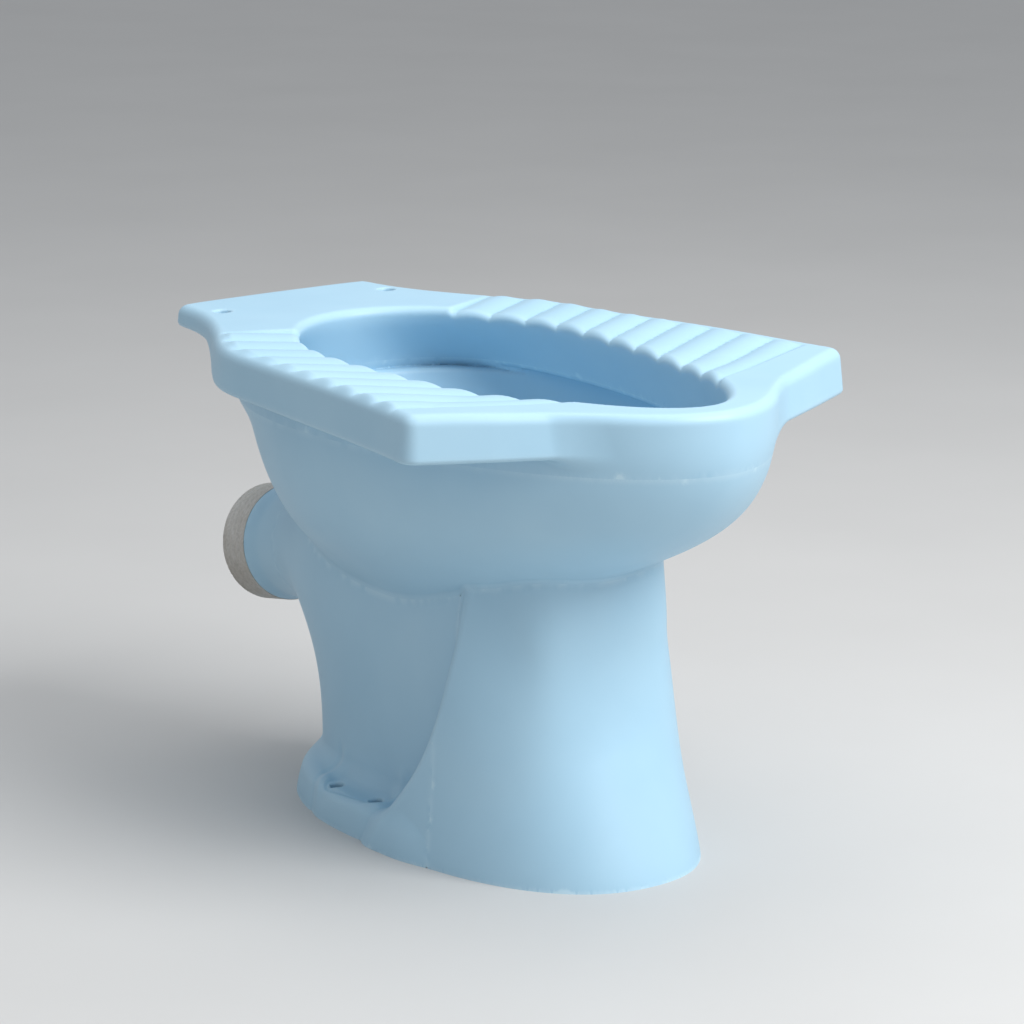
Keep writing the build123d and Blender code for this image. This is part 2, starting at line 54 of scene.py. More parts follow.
# ---- shapes ---------------------------------------------------------------------
# Lengths in mm, x across, y from the seat-bolt line, z from the floor.  Every shape is
# a signed distance field; both sides of the pan come from the same half.
def smooth_curve(knots, values, step=0.25):
    """Natural cubic spline through the knots, returned as a fast lookup."""
    k, v = np.asarray(knots, float), np.asarray(values, float)
    n = len(k)
    h = np.diff(k)
    a = np.zeros((n, n)); r = np.zeros(n)
    a[0, 0] = a[-1, -1] = 1.0
    for i in range(1, n - 1):
        a[i, i - 1], a[i, i], a[i, i + 1] = h[i - 1], 2 * (h[i - 1] + h[i]), h[i]
        r[i] = 6 * ((v[i + 1] - v[i]) / h[i] - (v[i] - v[i - 1]) / h[i - 1])
    m = np.linalg.solve(a, r)
    t = np.arange(k[0], k[-1] + step, step)
    j = np.clip(np.searchsorted(k, t, side="right") - 1, 0, n - 2)
    d0, d1 = k[j + 1] - t, t - k[j]
    y = (m[j] * d0 ** 3 + m[j + 1] * d1 ** 3) / (6 * h[j]) + \
        (v[j] / h[j] - m[j] * h[j] / 6) * d0 + (v[j + 1] / h[j] - m[j + 1] * h[j] / 6) * d1
    return lambda q: np.interp(q, t, y)


def rmax(a, b, r):
    """Intersection with a rounded edge of radius r."""
    return np.minimum(np.maximum(a, b), -r) + np.hypot(np.maximum(a + r, 0), np.maximum(b + r, 0))


def rmin(a, b, r):
    """Union with a fillet of radius r."""
    return np.maximum(np.minimum(a, b), r) - np.hypot(np.maximum(r - a, 0), np.maximum(r - b, 0))


def ramp(v, lo, hi):
    t = np.clip((v - lo) / (hi - lo), 0, 1)
    return t * t * (3 - 2 * t)


class Egg:
    """Stack of egg sections: half width, front, rear, widest line, powers, by height."""

    def __init__(self, rows, step=1.0):
        rows = sorted(rows)
        z = [r[0] for r in rows]
        self.c = [smooth_curve(z, [r[i] for r in rows]) for i in range(1, 7)]

    def value(self, x, y, z):
        a, front, rear, mid, nf, nr = (c(z) for c in self.c)
        ahead = y < mid
        b = np.where(ahead, mid - front, rear - mid)
        n = np.where(ahead, nf, nr)
        u = np.maximum(np.abs(x) / a, 1e-4)
        v = np.maximum(np.abs(y - mid) / b, 1e-4)
        f = (u ** n + v ** n) ** (1 / n)
        return f, u, v, n, a, b

    def __call__(self, x, y, z):
        f, u, v, n, a, b = self.value(x, y, z)
        k = f ** (1 - n)
        fx, fy = k * u ** (n - 1) / a, k * v ** (n - 1) / b
        fz = (self.value(x, y, z + 0.5)[0] - self.value(x, y, z - 0.5)[0])
        return (f - 1) / np.maximum(np.sqrt(fx * fx + fy * fy + fz * fz), 1e-4)


def row(z, a, front, rear, mid=-250.0, nf=1.93, nr=2.15):
    return (z, a, front, rear, mid, nf, nr)


BOWL_OUT = Egg([row(400, 171.5, -564.5, -8.0, -250, 1.89), row(372, 171.5, -564.2, -8.0, -250, 1.89),
                row(355, 171.0, -562.5, -9.0, -250, 1.88), row(345, 170.5, -560.0, -18.0, -250, 1.87),
                row(334, 170.2, -556.0, -38.0, -250, 1.87), row(320, 169.0, -548.5, -50.0, -250, 1.87),
                row(300, 165.0, -532.0, -59.0, -250, 1.88), row(280, 157.5, -506.0, -66.0, -250, 1.89),
                row(262, 147.0, -473.5, -70.0, -250, 1.9), row(245, 133.5, -436.5, -72.0, -250, 1.91),
                row(230, 118.5, -401.0, -74.0, -250, 1.92),
                row(215, 102.5, -366.5, -79.0, -246), row(200, 83.5, -331.0, -90.0, -238),
                row(185, 67.0, -303.0, -112.0, -230), row(165, 55.0, -282.0, -148.0, -225),
                row(140, 50.0, -273.0, -170.0, -223), row(112, 47.0, -270.0, -176.0, -223),
                row(90, 47.0, -270.0, -176.0, -223)])
BOWL_IN = Egg([row(400, 160.5, -549.5, -54.0), row(345, 160.5, -549.5, -54.0), row(320, 158.5, -537.5, -63.0),
               row(300, 154.5, -520.0, -74.0), row(280, 147.0, -493.0, -88.0),
               row(262, 136.0, -459.0, -102.0), row(245, 122.0, -421.0, -117.0),
               row(230, 107.0, -386.0, -132.0, -248), row(215, 90.0, -350.0, -146.0, -244),
               row(200, 72.0, -318.0, -158.0, -238), row(185, 56.5, -291.0, -168.0, -230),
               row(165, 45.0, -272.0, -177.0, -225), row(140, 40.0, -264.0, -183.0, -223),
               row(112, 38.0, -261.0, -185.0, -223), row(60, 38.0, -261.0, -185.0, -223)])
OPENING = Egg([row(410, 119.0, -536.0, -58.0, -225, 1.9, 2.05), row(388, 113.5, -531.0, -64.0, -225, 1.9, 2.05),
               row(372, 119.0, -527.0, -60.5, -222, 1.87, 2.3), row(345, 131.0, -515.0, -52.0, -215, 1.8, 3.0),
               row(330, 137.0, -507.0, -48.0, -213, 1.8, 3.2)])
PEDESTAL = Egg([row(-20, 123.5, -482.0, -60.0, -265, 2.24, 2.3), row(0, 122.4, -478.0, -56.4, -265, 2.25, 2.3),
                row(16, 121.4, -472.0, -56.4, -268, 2.26, 2.3), row(60, 117.6, -452.5, -60, -276, 2.3, 2.3),
                row(110, 113.9, -431.5, -70, -290, 2.4, 2.3), row(170, 107.6, -406.5, -90, -306, 2.5, 2.3),
                row(225, 97.5, -377.5, -110, -318, 2.5, 2.3), row(270, 95.0, -364.0, -110, -322, 2.5, 2.3)])
FOOT = Egg([row(-20, 122.0, -474.0, -55.5, -265, 2.2, 2.3), row(0, 121.4, -473.0, -56.4, -265, 2.2, 2.3),
            row(30, 115.5, -461.0, -65.0, -265, 2.12, 2.3), row(60, 110.0, -449.0, -75.0, -265, 2.12, 2.3)])
TRAP = Egg([row(-20, 83.0, -420, -72.0, -215, 5.0, 2.35), row(16, 83.0, -420, -72.0, -215, 5.0, 2.35),
            row(55, 82.5, -420, -72.0, -215, 5.0, 2.35), row(92, 83.0, -420, -69.0, -215, 5.0, 2.4),
            row(120, 84.0, -420, -60.0, -212, 5.0, 2.4), row(150, 86.0, -420, -42.0, -210, 5.0, 2.4),
            row(175, 87.0, -420, -24.0, -208, 5.0, 2.4), row(195, 87.0, -420, -14.0, -205, 5.0, 2.3),
            row(215, 85.0, -420, -20.0, -205, 5.0, 2.3),
            row(250, 80.0, -420, -60.0, -205, 5.0, 2.35), row(290, 70.0, -420, -90.0, -205, 5.0, 2.35)])

# platform outline seen from above, right half, from the rear edge round to the nose
RIM_PTS = [(0, 57.5), (30, 57.2), (60, 56.4), (84, 55.0), (94, 53.4), (99.5, 49.5), (101.6, 42.0), (103.2, 30.0),
           (106.0, 14.0), (110.6, -2.0), (118.0, -22.0), (128.5, -44.0), (142.0, -69.0), (155.5, -92.0),
           (166.5, -113.0), (174.5, -133.0), (179.0, -152.0), (181.8, -175.0), (185.0, -205.0), (193.2, -265.0),
           (203.4, -340.0), (212.0, -405.0), (216.2, -430.0)]
FRONT_PTS = [(208.0, -447.6), (160.0, -472.8), (120.0, -492.6), (92.0, -506.0), (60.0, -521.0), (0.0, -535.0)]


def through(points, per=10):
    """Dense centripetal curve through a list of points."""
    p = np.asarray(points, float)
    p = np.vstack([2 * p[0] - p[1], p, 2 * p[-1] - p[-2]])
    t = np.concatenate([[0], np.cumsum(np.linalg.norm(np.diff(p, axis=0), axis=1) ** 0.5)])
    out = []
    for i in range(1, len(p) - 2):
        s = np.linspace(t[i], t[i + 1], per, endpoint=False)[:, None]
        a1 = (t[i] - s) / (t[i] - t[i - 1]) * p[i - 1] + (s - t[i - 1]) / (t[i] - t[i - 1]) * p[i]
        a2 = (t[i + 1] - s) / (t[i + 1] - t[i]) * p[i] + (s - t[i]) / (t[i + 1] - t[i]) * p[i + 1]
        a3 = (t[i + 2] - s) / (t[i + 2] - t[i + 1]) * p[i + 1] + (s - t[i + 1]) / (t[i + 2] - t[i + 1]) * p[i + 2]
        b1 = (t[i + 1] - s) / (t[i + 1] - t[i - 1]) * a1 + (s - t[i - 1]) / (t[i + 1] - t[i - 1]) * a2
        b2 = (t[i + 2] - s) / (t[i + 2] - t[i]) * a2 + (s - t[i]) / (t[i + 2] - t[i]) * a3
        out.append((t[i + 1] - s) / (t[i + 1] - t[i]) * b1 + (s - t[i]) / (t[i + 1] - t[i]) * b2)
    return np.vstack(out + [p[-2][None]])


def outline_polygon():
    side = through(RIM_PTS)
    a, b = side[-1], np.array(FRONT_PTS[0])
    t0 = side[-1] - side[-3]; t0 /= np.linalg.norm(t0)
    t1 = np.array(FRONT_PTS[1]) - b; t1 /= np.linalg.norm(t1)
    k = np.linalg.solve(np.stack([t0, t1], 1), b - a)[0]
    corner = a + t0 * k
    s = np.linspace(0, 1, 14)[:, None]
    arc = (1 - s) ** 2 * a + 2 * s * (1 - s) * corner + s ** 2 * b
    half = np.vstack([side, arc[1:], np.array(FRONT_PTS[1:])])
    return np.vstack([half, (half * [-1, 1])[::-1][1:-1]])


class Outline:
    """Signed distance to the platform outline, from a 1 mm table."""

    def __init__(self):
        poly = outline_polygon()
        self.y0, self.x1 = -600.0, 245.0
        xs = np.arange(0, self.x1 + 1.0)
        ys = np.arange(self.y0, 110.0)
        gx, gy = np.meshgrid(xs, ys, indexing="ij")
        q = np.stack([gx.ravel(), gy.ravel()], 1)
        best = np.full(len(q), 1e18)
        inside = np.zeros(len(q), bool)
        for p, e in zip(poly, np.roll(poly, -1, 0)):
            d = e - p
            w = q - p
            t = np.clip(w @ d / max(d @ d, 1e-12), 0, 1)
            g = w - t[:, None] * d
            best = np.minimum(best, (g * g).sum(1))
            cross = (p[1] > q[:, 1]) != (e[1] > q[:, 1])
            with np.errstate(divide="ignore", invalid="ignore"):
                xi = p[0] + (q[:, 1] - p[1]) * d[0] / d[1]
            inside ^= cross & (q[:, 0] < xi)
        self.table = (np.sqrt(best) * np.where(inside, -1, 1)).reshape(gx.shape)

    def __call__(self, x, y):
        ax = np.clip(np.abs(x), 0, self.x1 - 1.001)
        ay = np.clip(y - self.y0, 0, self.table.shape[1] - 1.001)
        i, j = ax.astype(int), ay.astype(int)
        fx, fy = ax - i, ay - j
        t = self.table
        return (t[i, j] * (1 - fx) * (1 - fy) + t[i + 1, j] * fx * (1 - fy)
                + t[i, j + 1] * (1 - fx) * fy + t[i + 1, j + 1] * fx * fy)


OUTLINE = Outline()

# valleys between the ribs: a point on the opening's edge and the rib's direction
VALLEY_Y = np.array([-466.0, -428.2, -389.4, -351.2, -313.6, -276.6, -240.4, -204.8, -170.0, -136.0, -104.0])
VALLEY_X = np.array([62.0, 77.5, 89.6, 97.6, 104.3, 108.8, 110.5, 108.8, 103.0, 92.0, 80.0])
VALLEY_A = np.radians([21.0, 21.5, 22.0, 22.4, 22.8, 23.2, 23.6, 24.0, 24.2, 24.0, 23.0])
RIB_H = 3.7


def rib_height(x, y):
    """Scalloped ribs on the treads: convex between sharp valleys."""
    x = np.abs(x)
    s = [-(x - a) * math.sin(t) + (y - b) * math.cos(t) for a, b, t in zip(VALLEY_X, VALLEY_Y, VALLEY_A)]
    h = np.zeros_like(x)
    for k in range(len(s) - 1):
        inside = (s[k] >= 0) & (s[k + 1] < 0)
        t = s[k] / np.maximum(s[k] - s[k + 1], 1e-6)
        h = np.where(inside, 4 * t * (1 - t), h)
    return h * RIB_H, s[0], s[-1]


def top_height(x, y):
    """Height of the platform's top: dished treads that rise to their outer edges."""
    ribs, first, last = rib_height(x, y)
    edge = -OUTLINE(x, y)
    field = ramp(first, -5.0, 3.0) * ramp(-last, -4.0, 4.0)
    rise = 2.2 * ramp(-y, 150.0, 330.0) * ramp(np.abs(x), 105.0, 190.0)
    inner = np.clip((edge - 14.0) / 80.0, 0, 1.25)
    h = 395.2 + rise - 5.0 * inner * field - 1.6 * field * ramp(edge, 6.0, 15.0)
    return h + ribs * field * ramp(edge, 7.0, 17.0)


SLOPE = math.radians(9.8)
AX_Y, AX_Z = math.cos(SLOPE), -math.sin(SLOPE)
GLAZE_END = (25.0, 177.0)
NECK_R = smooth_curve([-130, -95, -70, -50, -34, -22, -13, -6, -1.5, 0, 6], [62, 58, 54.5, 51.2, 48.9, 47.6, 47.6, 49.4, 50.4, 50.5, 50.5])


def axis_coords(x, y, z):
    t = (y - GLAZE_END[0]) * AX_Y + (z - GLAZE_END[1]) * AX_Z
    u = (y - GLAZE_END[0]) * -AX_Z + (z - GLAZE_END[1]) * AX_Y
    return t, np.hypot(x, u)


def hole(x, y, cx, cy, r):
    return np.hypot(np.abs(x) - cx, y - cy) - r


def outside(x, y, z):
    """Outer form of the whole pan, and the bowl's own outer form."""
    edge = OUTLINE(x - 4.0 * ramp(-y, 180.0, 380.0), y)
    draft = 0.10 * (z - 366.0)
    under = 360.0 + 16.5 * ramp(y, -118.0, -18.0)
    slab = rmax(edge + draft, under - z, 4.5)
    bowl = BOWL_OUT(x, y, z)
    fillet = 2.5 + 9.5 * ramp(-y, 470.0, 500.0)
    upper = rmin(slab, bowl, fillet)
    upper = rmax(upper, z - top_height(x, y), 8.5)
    # foot, pedestal and trap body
    ridge = smooth_curve([-20, 20, 60, 110, 170, 220, 280], [-250, -268, -300, -328, -343, -348, -352])(z)
    front = rmax(PEDESTAL(x, y, z), y - ridge, 9.0)
    trap = TRAP(x, y, z)
    lower = rmin(trap, front, 16.0)
    foot = rmax(FOOT(x, y, z), z - 29.0, 9.0)
    lower = rmin(lower, foot, 1.0 + 15.0 * ramp(y, -350.0, -300.0))
    t, r = axis_coords(x, y, z)
    spigot = np.maximum(r - NECK_R(t), t - 12.0)
    lower = rmin(lower, np.maximum(spigot, -t - 150.0), 14.0)
    lower = np.maximum(lower, z - 300.0)
    return upper, lower, bowl, t, r


def ledge(x, y, z, body):
    """The fixing ledges: a shallow kidney-shaped pad round the two holes, with a soft raised rim."""
    ax = np.abs(x)
    cy = np.clip(y, -237.0, -182.0)
    d = np.hypot((ax - 98.0 + 3.0 * ((y + 209.5) / 40.0) ** 2) / 1.0, y - cy)
    near = ramp(60.0 - z, 0.0, 14.0)
    dip = 2.6 * (1 - ramp(d, 9.0, 14.0)) - 1.5 * np.exp(-((d - 18.5) / 3.6) ** 2) + 1.0 * np.exp(-((d - 27.5) / 3.2) ** 2)
    return body + dip * near * ramp(60.0 - d, 0, 20.0)


def pan(x, y, z):
    """The glazed pan: outer form less the opening, the bowl, the waterway and the holes."""
    upper, lower, bowl, t, r = outside(x, y, z)
    body = rmin(upper, lower, 4.5)
    body = ledge(x, y, z, body)
    opening = np.maximum(OPENING(x, y, z), 338.5 - z)
    inner = np.maximum(BOWL_IN(x, y, z), z - 341.0)
    body = rmax(body, -opening, 7.0)
    body = rmax(body, -inner, 4.0)
    seat = np.maximum(hole(x, y, 84.8, 0.0, 7.0), 360.0 - z)
    body = rmax(body, -seat, 2.2)
    # hollow under the bowl, open to the floor
    hollow = np.maximum(lower + 12.0, z - 178.0)
    hollow = np.maximum(hollow, 2.0 - bowl)
    body = np.maximum(body, -hollow)
    for cy in (-182.0, -237.0):
        fix = np.maximum(hole(x, y, 98.0, cy, 5.6), np.maximum(z - 80.0, -z - 5))
        body = rmax(body, -fix, 1.4)
    bore = np.maximum(r - 42.0, -t - 44.0)
    body = np.maximum(body, -bore)
    return body


def region_rim(x, y, z):
    return 346.0 - z


def region_bowl(x, y, z):
    return np.maximum(z - 346.0, np.maximum(BOWL_OUT(x, y, z) - 3.0, -z + 112.0))


def below_bowl(x, y, z):
    return np.maximum(z - 300.0, 3.0 - BOWL_OUT(x, y, z))


def spigot_cut(x, y, z):
    return (y - GLAZE_END[0]) * AX_Y + (z - GLAZE_END[1]) * AX_Z + 46.0


def region_front(x, y, z):
    return np.maximum(below_bowl(x, y, z), y + 335.0)


def region_trap(x, y, z):
    return np.maximum(np.maximum(below_bowl(x, y, z), -335.0 - y), spigot_cut(x, y, z))


def region_spigot(x, y, z):
    return np.maximum(np.maximum(below_bowl(x, y, z), -spigot_cut(x, y, z)), spigot_cut(x, y, z) - 46.0)


def mesh_field(shape, region, low, high, h):
    """Closed quad mesh of shape cut to region: dual vertices on a grid, then moved onto the
    surfaces, and onto the line where both meet.  Returns points, quads and corner normals."""
    def both(p):
        d, g = shape(*p.T), region(*p.T)
        return d, g

    B = 4
    low, high = np.asarray(low, float), np.asarray(high, float)
    nb = np.ceil((high - low) / (B * h)).astype(int)
    cx = [low[i] + B * h * (np.arange(nb[i]) + 0.5) for i in range(3)]
    cc = np.stack(np.meshgrid(*cx, indexing="ij"), -1).reshape(-1, 3)
    d, g = both(cc)
    f = np.maximum(d, g)
    reach = B * h * 0.87 + 7.0
    live = np.abs(f) < reach
    dims = nb * B + 1
    dense = np.repeat(np.repeat(np.repeat(np.where(f < 0, -99.0, 99.0).reshape(nb), B, 0), B, 1), B, 2)
    dense = np.pad(dense, ((0, 1), (0, 1), (0, 1)), mode="edge").astype(np.float32)
    need = np.zeros(dims, bool)
    for b in np.argwhere(live.reshape(nb)):
        i, j, k = b * B
        need[i:i + B + 1, j:j + B + 1, k:k + B + 1] = True
    idx = np.argwhere(need)
    vals = np.empty(len(idx), np.float32)
    for s in range(0, len(idx), 400000):
        p = low + idx[s:s + 400000] * h
        d, g = both(p)
        vals[s:s + 400000] = np.maximum(d, g)
    dense[tuple(idx.T)] = vals
    neg = dense < 0
    c = [neg[a:dims[0] - 1 + a, b:dims[1] - 1 + b, e:dims[2] - 1 + e] for a in (0, 1) for b in (0, 1) for e in (0, 1)]
    total = sum(q.astype(np.int8) for q in c)
    cells = np.argwhere((total > 0) & (total < 8))
    number = np.full(tuple(dims - 1), -1, np.int64)
    number[tuple(cells.T)] = np.arange(len(cells))
    acc = np.zeros((len(cells), 3)); cnt = np.zeros(len(cells))
    corners = [(a, b, e) for a in (0, 1) for b in (0, 1) for e in (0, 1)]
    val = {q: dense[cells[:, 0] + q[0], cells[:, 1] + q[1], cells[:, 2] + q[2]].astype(float) for q in corners}
    for q in corners:
        for ax in range(3):
            if q[ax] == 0:
                w = list(q); w[ax] = 1; w = tuple(w)
                v0, v1 = val[q], val[w]
                hit = (v0 < 0) != (v1 < 0)
                t = np.where(hit, v0 / np.where(hit, v0 - v1, 1), 0)
                pt = np.tile(np.array(q, float), (len(cells), 1)); pt[:, ax] += t
                acc += pt * hit[:, None]; cnt += hit
    pts = low + (cells + acc / cnt[:, None]) * h
    quads = []
    for ax in range(3):
        o = [(ax + 1) % 3, (ax + 2) % 3]
        sl0 = [slice(None)] * 3; sl1 = [slice(None)] * 3
        sl0[ax] = slice(0, -1); sl1[ax] = slice(1, None)
        diff = neg[tuple(sl0)] != neg[tuple(sl1)]
        e = np.argwhere(diff)
        ok = (e[:, o[0]] > 0) & (e[:, o[1]] > 0) & (e[:, o[0]] < dims[o[0]] - 1) & (e[:, o[1]] < dims[o[1]] - 1)
        e = e[ok]
        q = []
        for da, db in ((0, 0), (1, 0), (1, 1), (0, 1)):
            w = e.copy(); w[:, o[0]] -= da; w[:, o[1]] -= db
            q.append(number[tuple(w.T)])
        q = np.stack(q, 1)
        first_in = neg[tuple(e.T)]
        q[~first_in] = q[~first_in][:, ::-1]
        quads.append(q)
    quads = np.vstack(quads)
    quads = quads[(quads >= 0).all(1)]

    def grad(fn, p):
        e = 0.4
        return np.stack([(fn(*(p + s).T) - fn(*(p - s).T)) / (2 * e) for s in np.eye(3) * e], 1)

    def newton(fn, p, cap):
        v = fn(*p.T); gr = grad(fn, p)
        step = -v[:, None] * gr / np.maximum((gr * gr).sum(1), 0.05)[:, None]
        ln = np.linalg.norm(step, axis=1, keepdims=True)
        return p + step * np.minimum(1, cap / np.maximum(ln, 1e-9))

    start = pts.copy()
    d, g = both(pts)
    near = (np.abs(d) < 1.0 * h) & (np.abs(g) < 1.0 * h)
    on_d = d >= g
    for it in range(3):
        a = on_d | near
        pts[a] = newton(shape, pts[a], 0.6 * h)
        b = ~on_d | near
        if b.any():
            pts[b] = newton(region, pts[b], 0.6 * h)
    for it in range(3):
        if near.any():
            pts[near] = newton(region, newton(shape, pts[near], 0.3 * h), 0.3 * h)
    moved = pts - start
    far = np.linalg.norm(moved, axis=1, keepdims=True)
    pts = start + moved * np.minimum(1, 1.7 * h / np.maximum(far, 1e-9))
    nd = grad(shape, pts); nd /= np.maximum(np.linalg.norm(nd, axis=1, keepdims=True), 1e-9)
    ng = grad(region, pts); ng /= np.maximum(np.linalg.norm(ng, axis=1, keepdims=True), 1e-9)
    mid = pts[quads].mean(1)
    dm, gm = both(mid)
    face_d = dm >= gm - 1e-3
    fn = np.cross(pts[quads[:, 2]] - pts[quads[:, 0]], pts[quads[:, 3]] - pts[quads[:, 1]])
    fn /= np.maximum(np.linalg.norm(fn, axis=1, keepdims=True), 1e-9)
    corner = np.where(face_d[:, None, None], nd[quads], ng[quads])
    agree = (corner * fn[:, None]).sum(2, keepdims=True)
    corner = np.where(agree > 0.55, corner, fn[:, None] + 0 * corner)
    return pts, quads, corner
# ---- end of shapes ----------------------------------------------------------------


# ---- materials --------------------------------------------------------------------
def new_material(name):
    mat = bpy.data.materials.new(name)
    mat.use_nodes = True
    nodes = mat.node_tree.nodes
    return mat, nodes, mat.node_tree.links, nodes["Principled BSDF"]


def node(nodes, kind, **values):
    n = nodes.new(kind)
    for key, value in values.items():
        if hasattr(n, key):
            setattr(n, key, value)
        else:
            n.inputs[key.replace("_", " ")].default_value = value
    return n


def ramp_node(nodes, stops):
    n = nodes.new("ShaderNodeValToRGB")
    el = n.color_ramp.elements
    while len(el) < len(stops):
        el.new(0.5)
    for e, (at, colour) in zip(el, stops):
        e.position, e.color = at, (*colour, 1.0)
    return n


def glaze_material():
    """Light blue sanitary glaze: painted shade, a slightly deeper tint, in the hollows and a painted highlight,
    paler, on the raised edges, with faint cloudiness, fine specks and a soft orange-peel ripple."""
    mat, nodes, links, bsdf = new_material("glaze_light_blue")
    coord = nodes.new("ShaderNodeTexCoord")
    cloud = node(nodes, "ShaderNodeTexNoise", Scale=9.0, Detail=3.0, Roughness=0.55)
    links.new(coord.outputs["Object"], cloud.inputs["Vector"])
    tint = ramp_node(nodes, [(0.25, (0.335, 0.555, 0.715)), (0.5, (0.358, 0.580, 0.738)), (0.78, (0.385, 0.605, 0.755))])
    links.new(cloud.outputs["Fac"], tint.inputs["Fac"])
    # painted highlight and shade: raised edges (high pointiness) blend toward a paler blue, hollows keep the deeper
    # tint
    geo = nodes.new("ShaderNodeNewGeometry")
    edge = ramp_node(nodes, [(0.47, (0.0, 0.0, 0.0)), (0.56, (0.5, 0.5, 0.5)), (0.66, (1.0, 1.0, 1.0))])
    links.new(geo.outputs["Pointiness"], edge.inputs["Fac"])
    edge_highlight_mix = node(nodes, "ShaderNodeMix", data_type="RGBA", blend_type="MIX")
    links.new(edge.outputs["Color"], edge_highlight_mix.inputs[0])
    links.new(tint.outputs["Color"], edge_highlight_mix.inputs[6])
    # painted highlight colour for the raised edges
    edge_highlight_mix.inputs[7].default_value = (0.50, 0.70, 0.82, 1.0)
    speck = node(nodes, "ShaderNodeTexVoronoi", Scale=210.0)
    links.new(coord.outputs["Object"], speck.inputs["Vector"])
    dots = ramp_node(nodes, [(0.0, (1.0, 1.0, 1.0)), (0.035, (0.0, 0.0, 0.0)), (1.0, (0.0, 0.0, 0.0))])
    links.new(speck.outputs["Distance"], dots.inputs["Fac"])
    spot = node(nodes, "ShaderNodeMix", data_type="RGBA", blend_type="MULTIPLY")
    links.new(dots.outputs["Color"], spot.inputs[0])
    links.new(edge_highlight_mix.outputs[2], spot.inputs[6])
    spot.inputs[7].default_value = (0.86, 0.90, 0.93, 1.0)
    links.new(spot.outputs[2], bsdf.inputs["Base Color"])
    rough_noise = node(nodes, "ShaderNodeTexNoise", Scale=26.0, Detail=2.0)
    links.new(coord.outputs["Object"], rough_noise.inputs["Vector"])
    rough = node(nodes, "ShaderNodeMapRange")
    rough.inputs["To Min"].default_value = 0.42
    rough.inputs["To Max"].default_value = 0.54
    links.new(rough_noise.outputs["Fac"], rough.inputs["Value"])
    links.new(rough.outputs["Result"], bsdf.inputs["Roughness"])
    ripple = node(nodes, "ShaderNodeTexNoise", Scale=55.0, Detail=2.0, Roughness=0.4)
    links.new(coord.outputs["Object"], ripple.inputs["Vector"])
    bump = node(nodes, "ShaderNodeBump", Strength=0.05, Distance=0.001)
    links.new(ripple.outputs["Fac"], bump.inputs["Height"])
    links.new(bump.outputs["Normal"], bsdf.inputs["Normal"])
    bsdf.inputs["IOR"].default_value = 1.5
    bsdf.inputs["Specular IOR Level"].default_value = 0.4
    bsdf.inputs["Coat Weight"].default_value = 0.06
    bsdf.inputs["Coat Roughness"].default_value = 0.22
    return mat


def bare_material():
    """Unglazed fired body: grey-beige, mottled with brownish patches, and fine grain."""
    mat, nodes, links, bsdf = new_material("bare_body_biscuit")
    coord = nodes.new("ShaderNodeTexCoord")
    big = node(nodes, "ShaderNodeTexNoise", Scale=22.0, Detail=5.0, Roughness=0.6)
    links.new(coord.outputs["Object"], big.inputs["Vector"])
    tint = ramp_node(nodes, [(0.25, (0.44, 0.405, 0.36)), (0.5, (0.56, 0.54, 0.505)), (0.75, (0.64, 0.625, 0.60))])
    links.new(big.outputs["Fac"], tint.inputs["Fac"])
    grain = node(nodes, "ShaderNodeTexNoise", Scale=420.0, Detail=3.0)
    links.new(coord.outputs["Object"], grain.inputs["Vector"])
    fine = ramp_node(nodes, [(0.3, (0.80, 0.79, 0.77)), (0.7, (1.0, 1.0, 1.0))])
    links.new(grain.outputs["Fac"], fine.inputs["Fac"])
    mix = node(nodes, "ShaderNodeMix", data_type="RGBA", blend_type="MULTIPLY")
    mix.inputs[0].default_value = 1.0
    links.new(tint.outputs["Color"], mix.inputs[6])
    links.new(fine.outputs["Color"], mix.inputs[7])
    links.new(mix.outputs[2], bsdf.inputs["Base Color"])
    bump = node(nodes, "ShaderNodeBump", Strength=0.35, Distance=0.0006)
    links.new(grain.outputs["Fac"], bump.inputs["Height"])
    links.new(bump.outputs["Normal"], bsdf.inputs["Normal"])
    bsdf.inputs["Roughness"].default_value = 0.82
    bsdf.inputs["Specular IOR Level"].default_value = 0.3
    return mat


GLAZE, BARE = glaze_material(), bare_material()


# ---- pieces -----------------------------------------------------------------------
def make_piece(name, shape, region, low, high, h, material, nodes):
    pts, quads, corner = mesh_field(shape, region, low, high, h)
    pts = pts / 1000.0
    pts[:, 1] += SEAT_Y / 1000.0
    me = bpy.data.meshes.new(name)
    me.vertices.add(len(pts))
    me.vertices.foreach_set("co", pts.ravel())
    me.loops.add(quads.size)
    me.loops.foreach_set("vertex_index", quads.ravel().astype(np.int32))
    me.polygons.add(len(quads))
    me.polygons.foreach_set("loop_start", np.arange(0, quads.size, 4, dtype=np.int32))
    me.update(calc_edges=True)
    me.polygons.foreach_set("use_smooth", np.ones(len(quads), bool))
    me.normals_split_custom_set(corner.reshape(-1, 3).tolist())
    me.materials.append(material)
    me.update()
    obj = bpy.data.objects.new(name, me)
    bpy.context.scene.collection.objects.link(obj)
    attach(obj, "root")
    if nodes:
        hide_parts(*nodes)
    return obj


H = 2.3


def spigot_bare(x, y, z):
    """Unglazed end: shallow turned grooves round it and a worn, rounded mouth."""
    t, r = axis_coords(x, y, z)
    groove = 0.0
    for at in (8.0, 15.5, 23.0, 30.0):
        groove = groove + 0.8 * np.exp(-((t - at) / 1.5) ** 2)
    wall = rmax(r - 51.0 + groove, t - 34.4, 2.0)
    return rmax(wall, 42.0 - r, 2.0)


def after_glaze(x, y, z):
    return -((y - GLAZE_END[0]) * AX_Y + (z - GLAZE_END[1]) * AX_Z) + 0.0


def on_floor(region):
    return lambda x, y, z: np.maximum(region(x, y, z), -z)


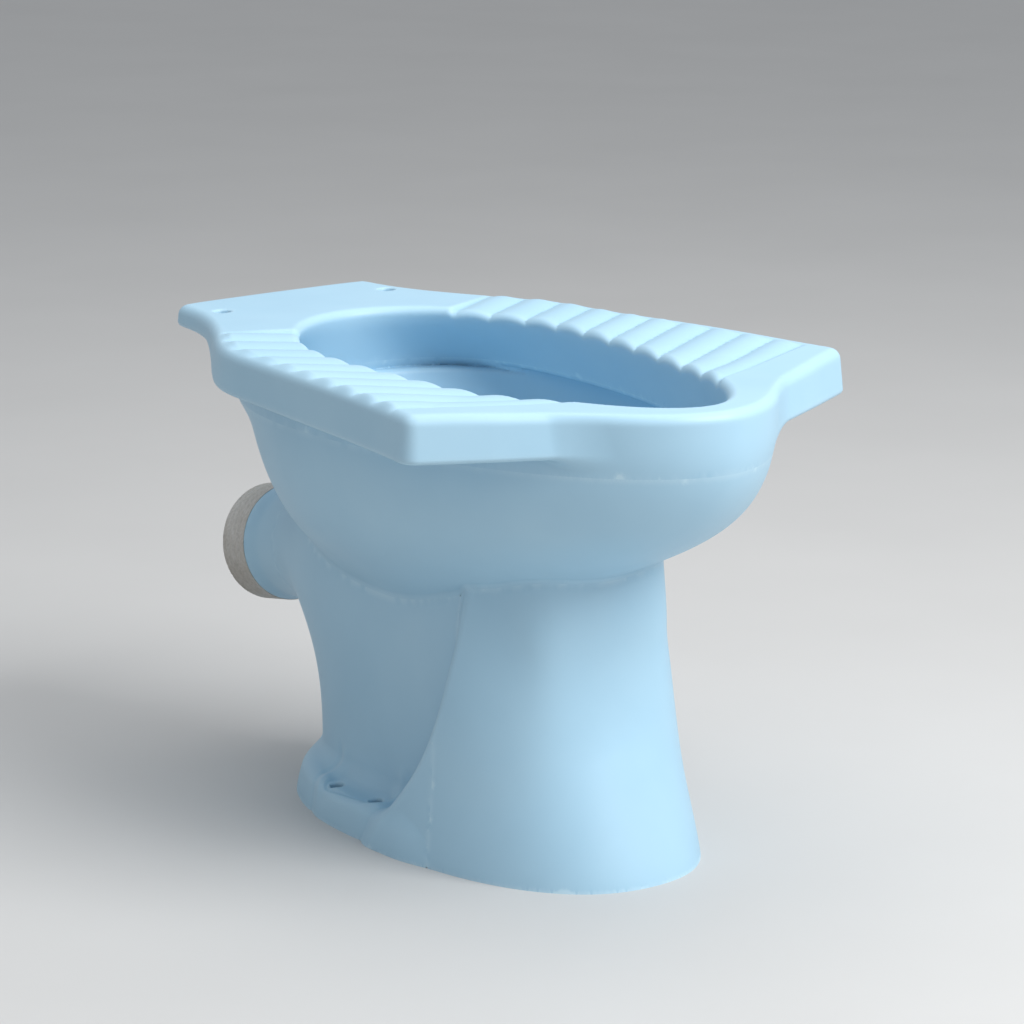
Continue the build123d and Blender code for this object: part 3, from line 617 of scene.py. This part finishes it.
make_piece("rim_casting", pan, region_rim, (-230, -585, 340), (230, 72, 404), H, GLAZE,
           ["rim_deck", "rim_channel_floor"])
make_piece("bowl_casting", pan, region_bowl, (-190, -585, 100), (190, 12, 364), H, GLAZE, ["bowl"])
make_piece("pedestal_casting", pan, on_floor(region_front), (-140, -495, -9), (140, -325, 300), H, GLAZE,
           ["front_pedestal", "foot_ring"])
make_piece("trap_casting", pan, on_floor(region_trap), (-140, -345, -9), (140, 12, 302), H, GLAZE,
           ["trap_body", "fixing_ledge_left", "fixing_ledge_right"])
make_piece("spigot_casting", pan, region_spigot, (-75, -60, 95), (75, 60, 262), H, GLAZE, ["outlet_spigot"])
make_piece("spigot_bare_end", spigot_bare, after_glaze, (-62, 8, 100), (62, 80, 240), 1.9, BARE,
           ["spigot_end"])

for name, obj in (("trapway", GLAZE), ("flush_box", GLAZE), ("flush_inlet", GLAZE)):
    cad = bpy.data.objects.get(name)
    if cad:
        for slot in cad.material_slots:
            slot.material = obj

# ---- floor, backdrop and light ----------------------------------------------------
floor_mat, nodes, links, bsdf = new_material("floor_pale")
coord = nodes.new("ShaderNodeTexCoord")
noise = node(nodes, "ShaderNodeTexNoise", Scale=3.0, Detail=4.0)
links.new(coord.outputs["Object"], noise.inputs["Vector"])
tone = ramp_node(nodes, [(0.3, (0.56, 0.56, 0.555)), (0.7, (0.58, 0.58, 0.575))])
links.new(noise.outputs["Fac"], tone.inputs["Fac"])
links.new(tone.outputs["Color"], bsdf.inputs["Base Color"])
bsdf.inputs["Roughness"].default_value = 0.6
bpy.ops.mesh.primitive_plane_add(size=24.0, location=(0, 0, 0))
floor = bpy.context.active_object
floor.name = "floor_plane"
floor.data.materials.append(floor_mat)

world = bpy.data.worlds.new("soft_room")
bpy.context.scene.world = world
world.use_nodes = True
world.node_tree.nodes["Background"].inputs["Color"].default_value = (0.93, 0.96, 1.0, 1.0)
world.node_tree.nodes["Background"].inputs["Strength"].default_value = 0.50


def area(name, at, towards, width, height, watts, colour=(1.0, 1.0, 1.0)):
    data = bpy.data.lights.new(name, "AREA")
    data.shape, data.size, data.size_y, data.energy, data.color = "RECTANGLE", width, height, watts, colour
    obj = bpy.data.objects.new(name, data)
    bpy.context.scene.collection.objects.link(obj)
    obj.location = at
    obj.rotation_euler = (Vector(at) - Vector(towards)).to_track_quat("Z", "Y").to_euler()


area("window", (0.75, -2.05, 2.35), (0.0, -0.05, 0.30), 1.8, 1.8, 92.0, (1.0, 0.995, 0.985))
area("ceiling", (0.3, 0.3, 2.6), (0.0, 0.0, 0.3), 2.2, 2.2, 22.0, (1.0, 1.0, 1.0))

bpy.context.scene.view_settings.view_transform = "Standard"
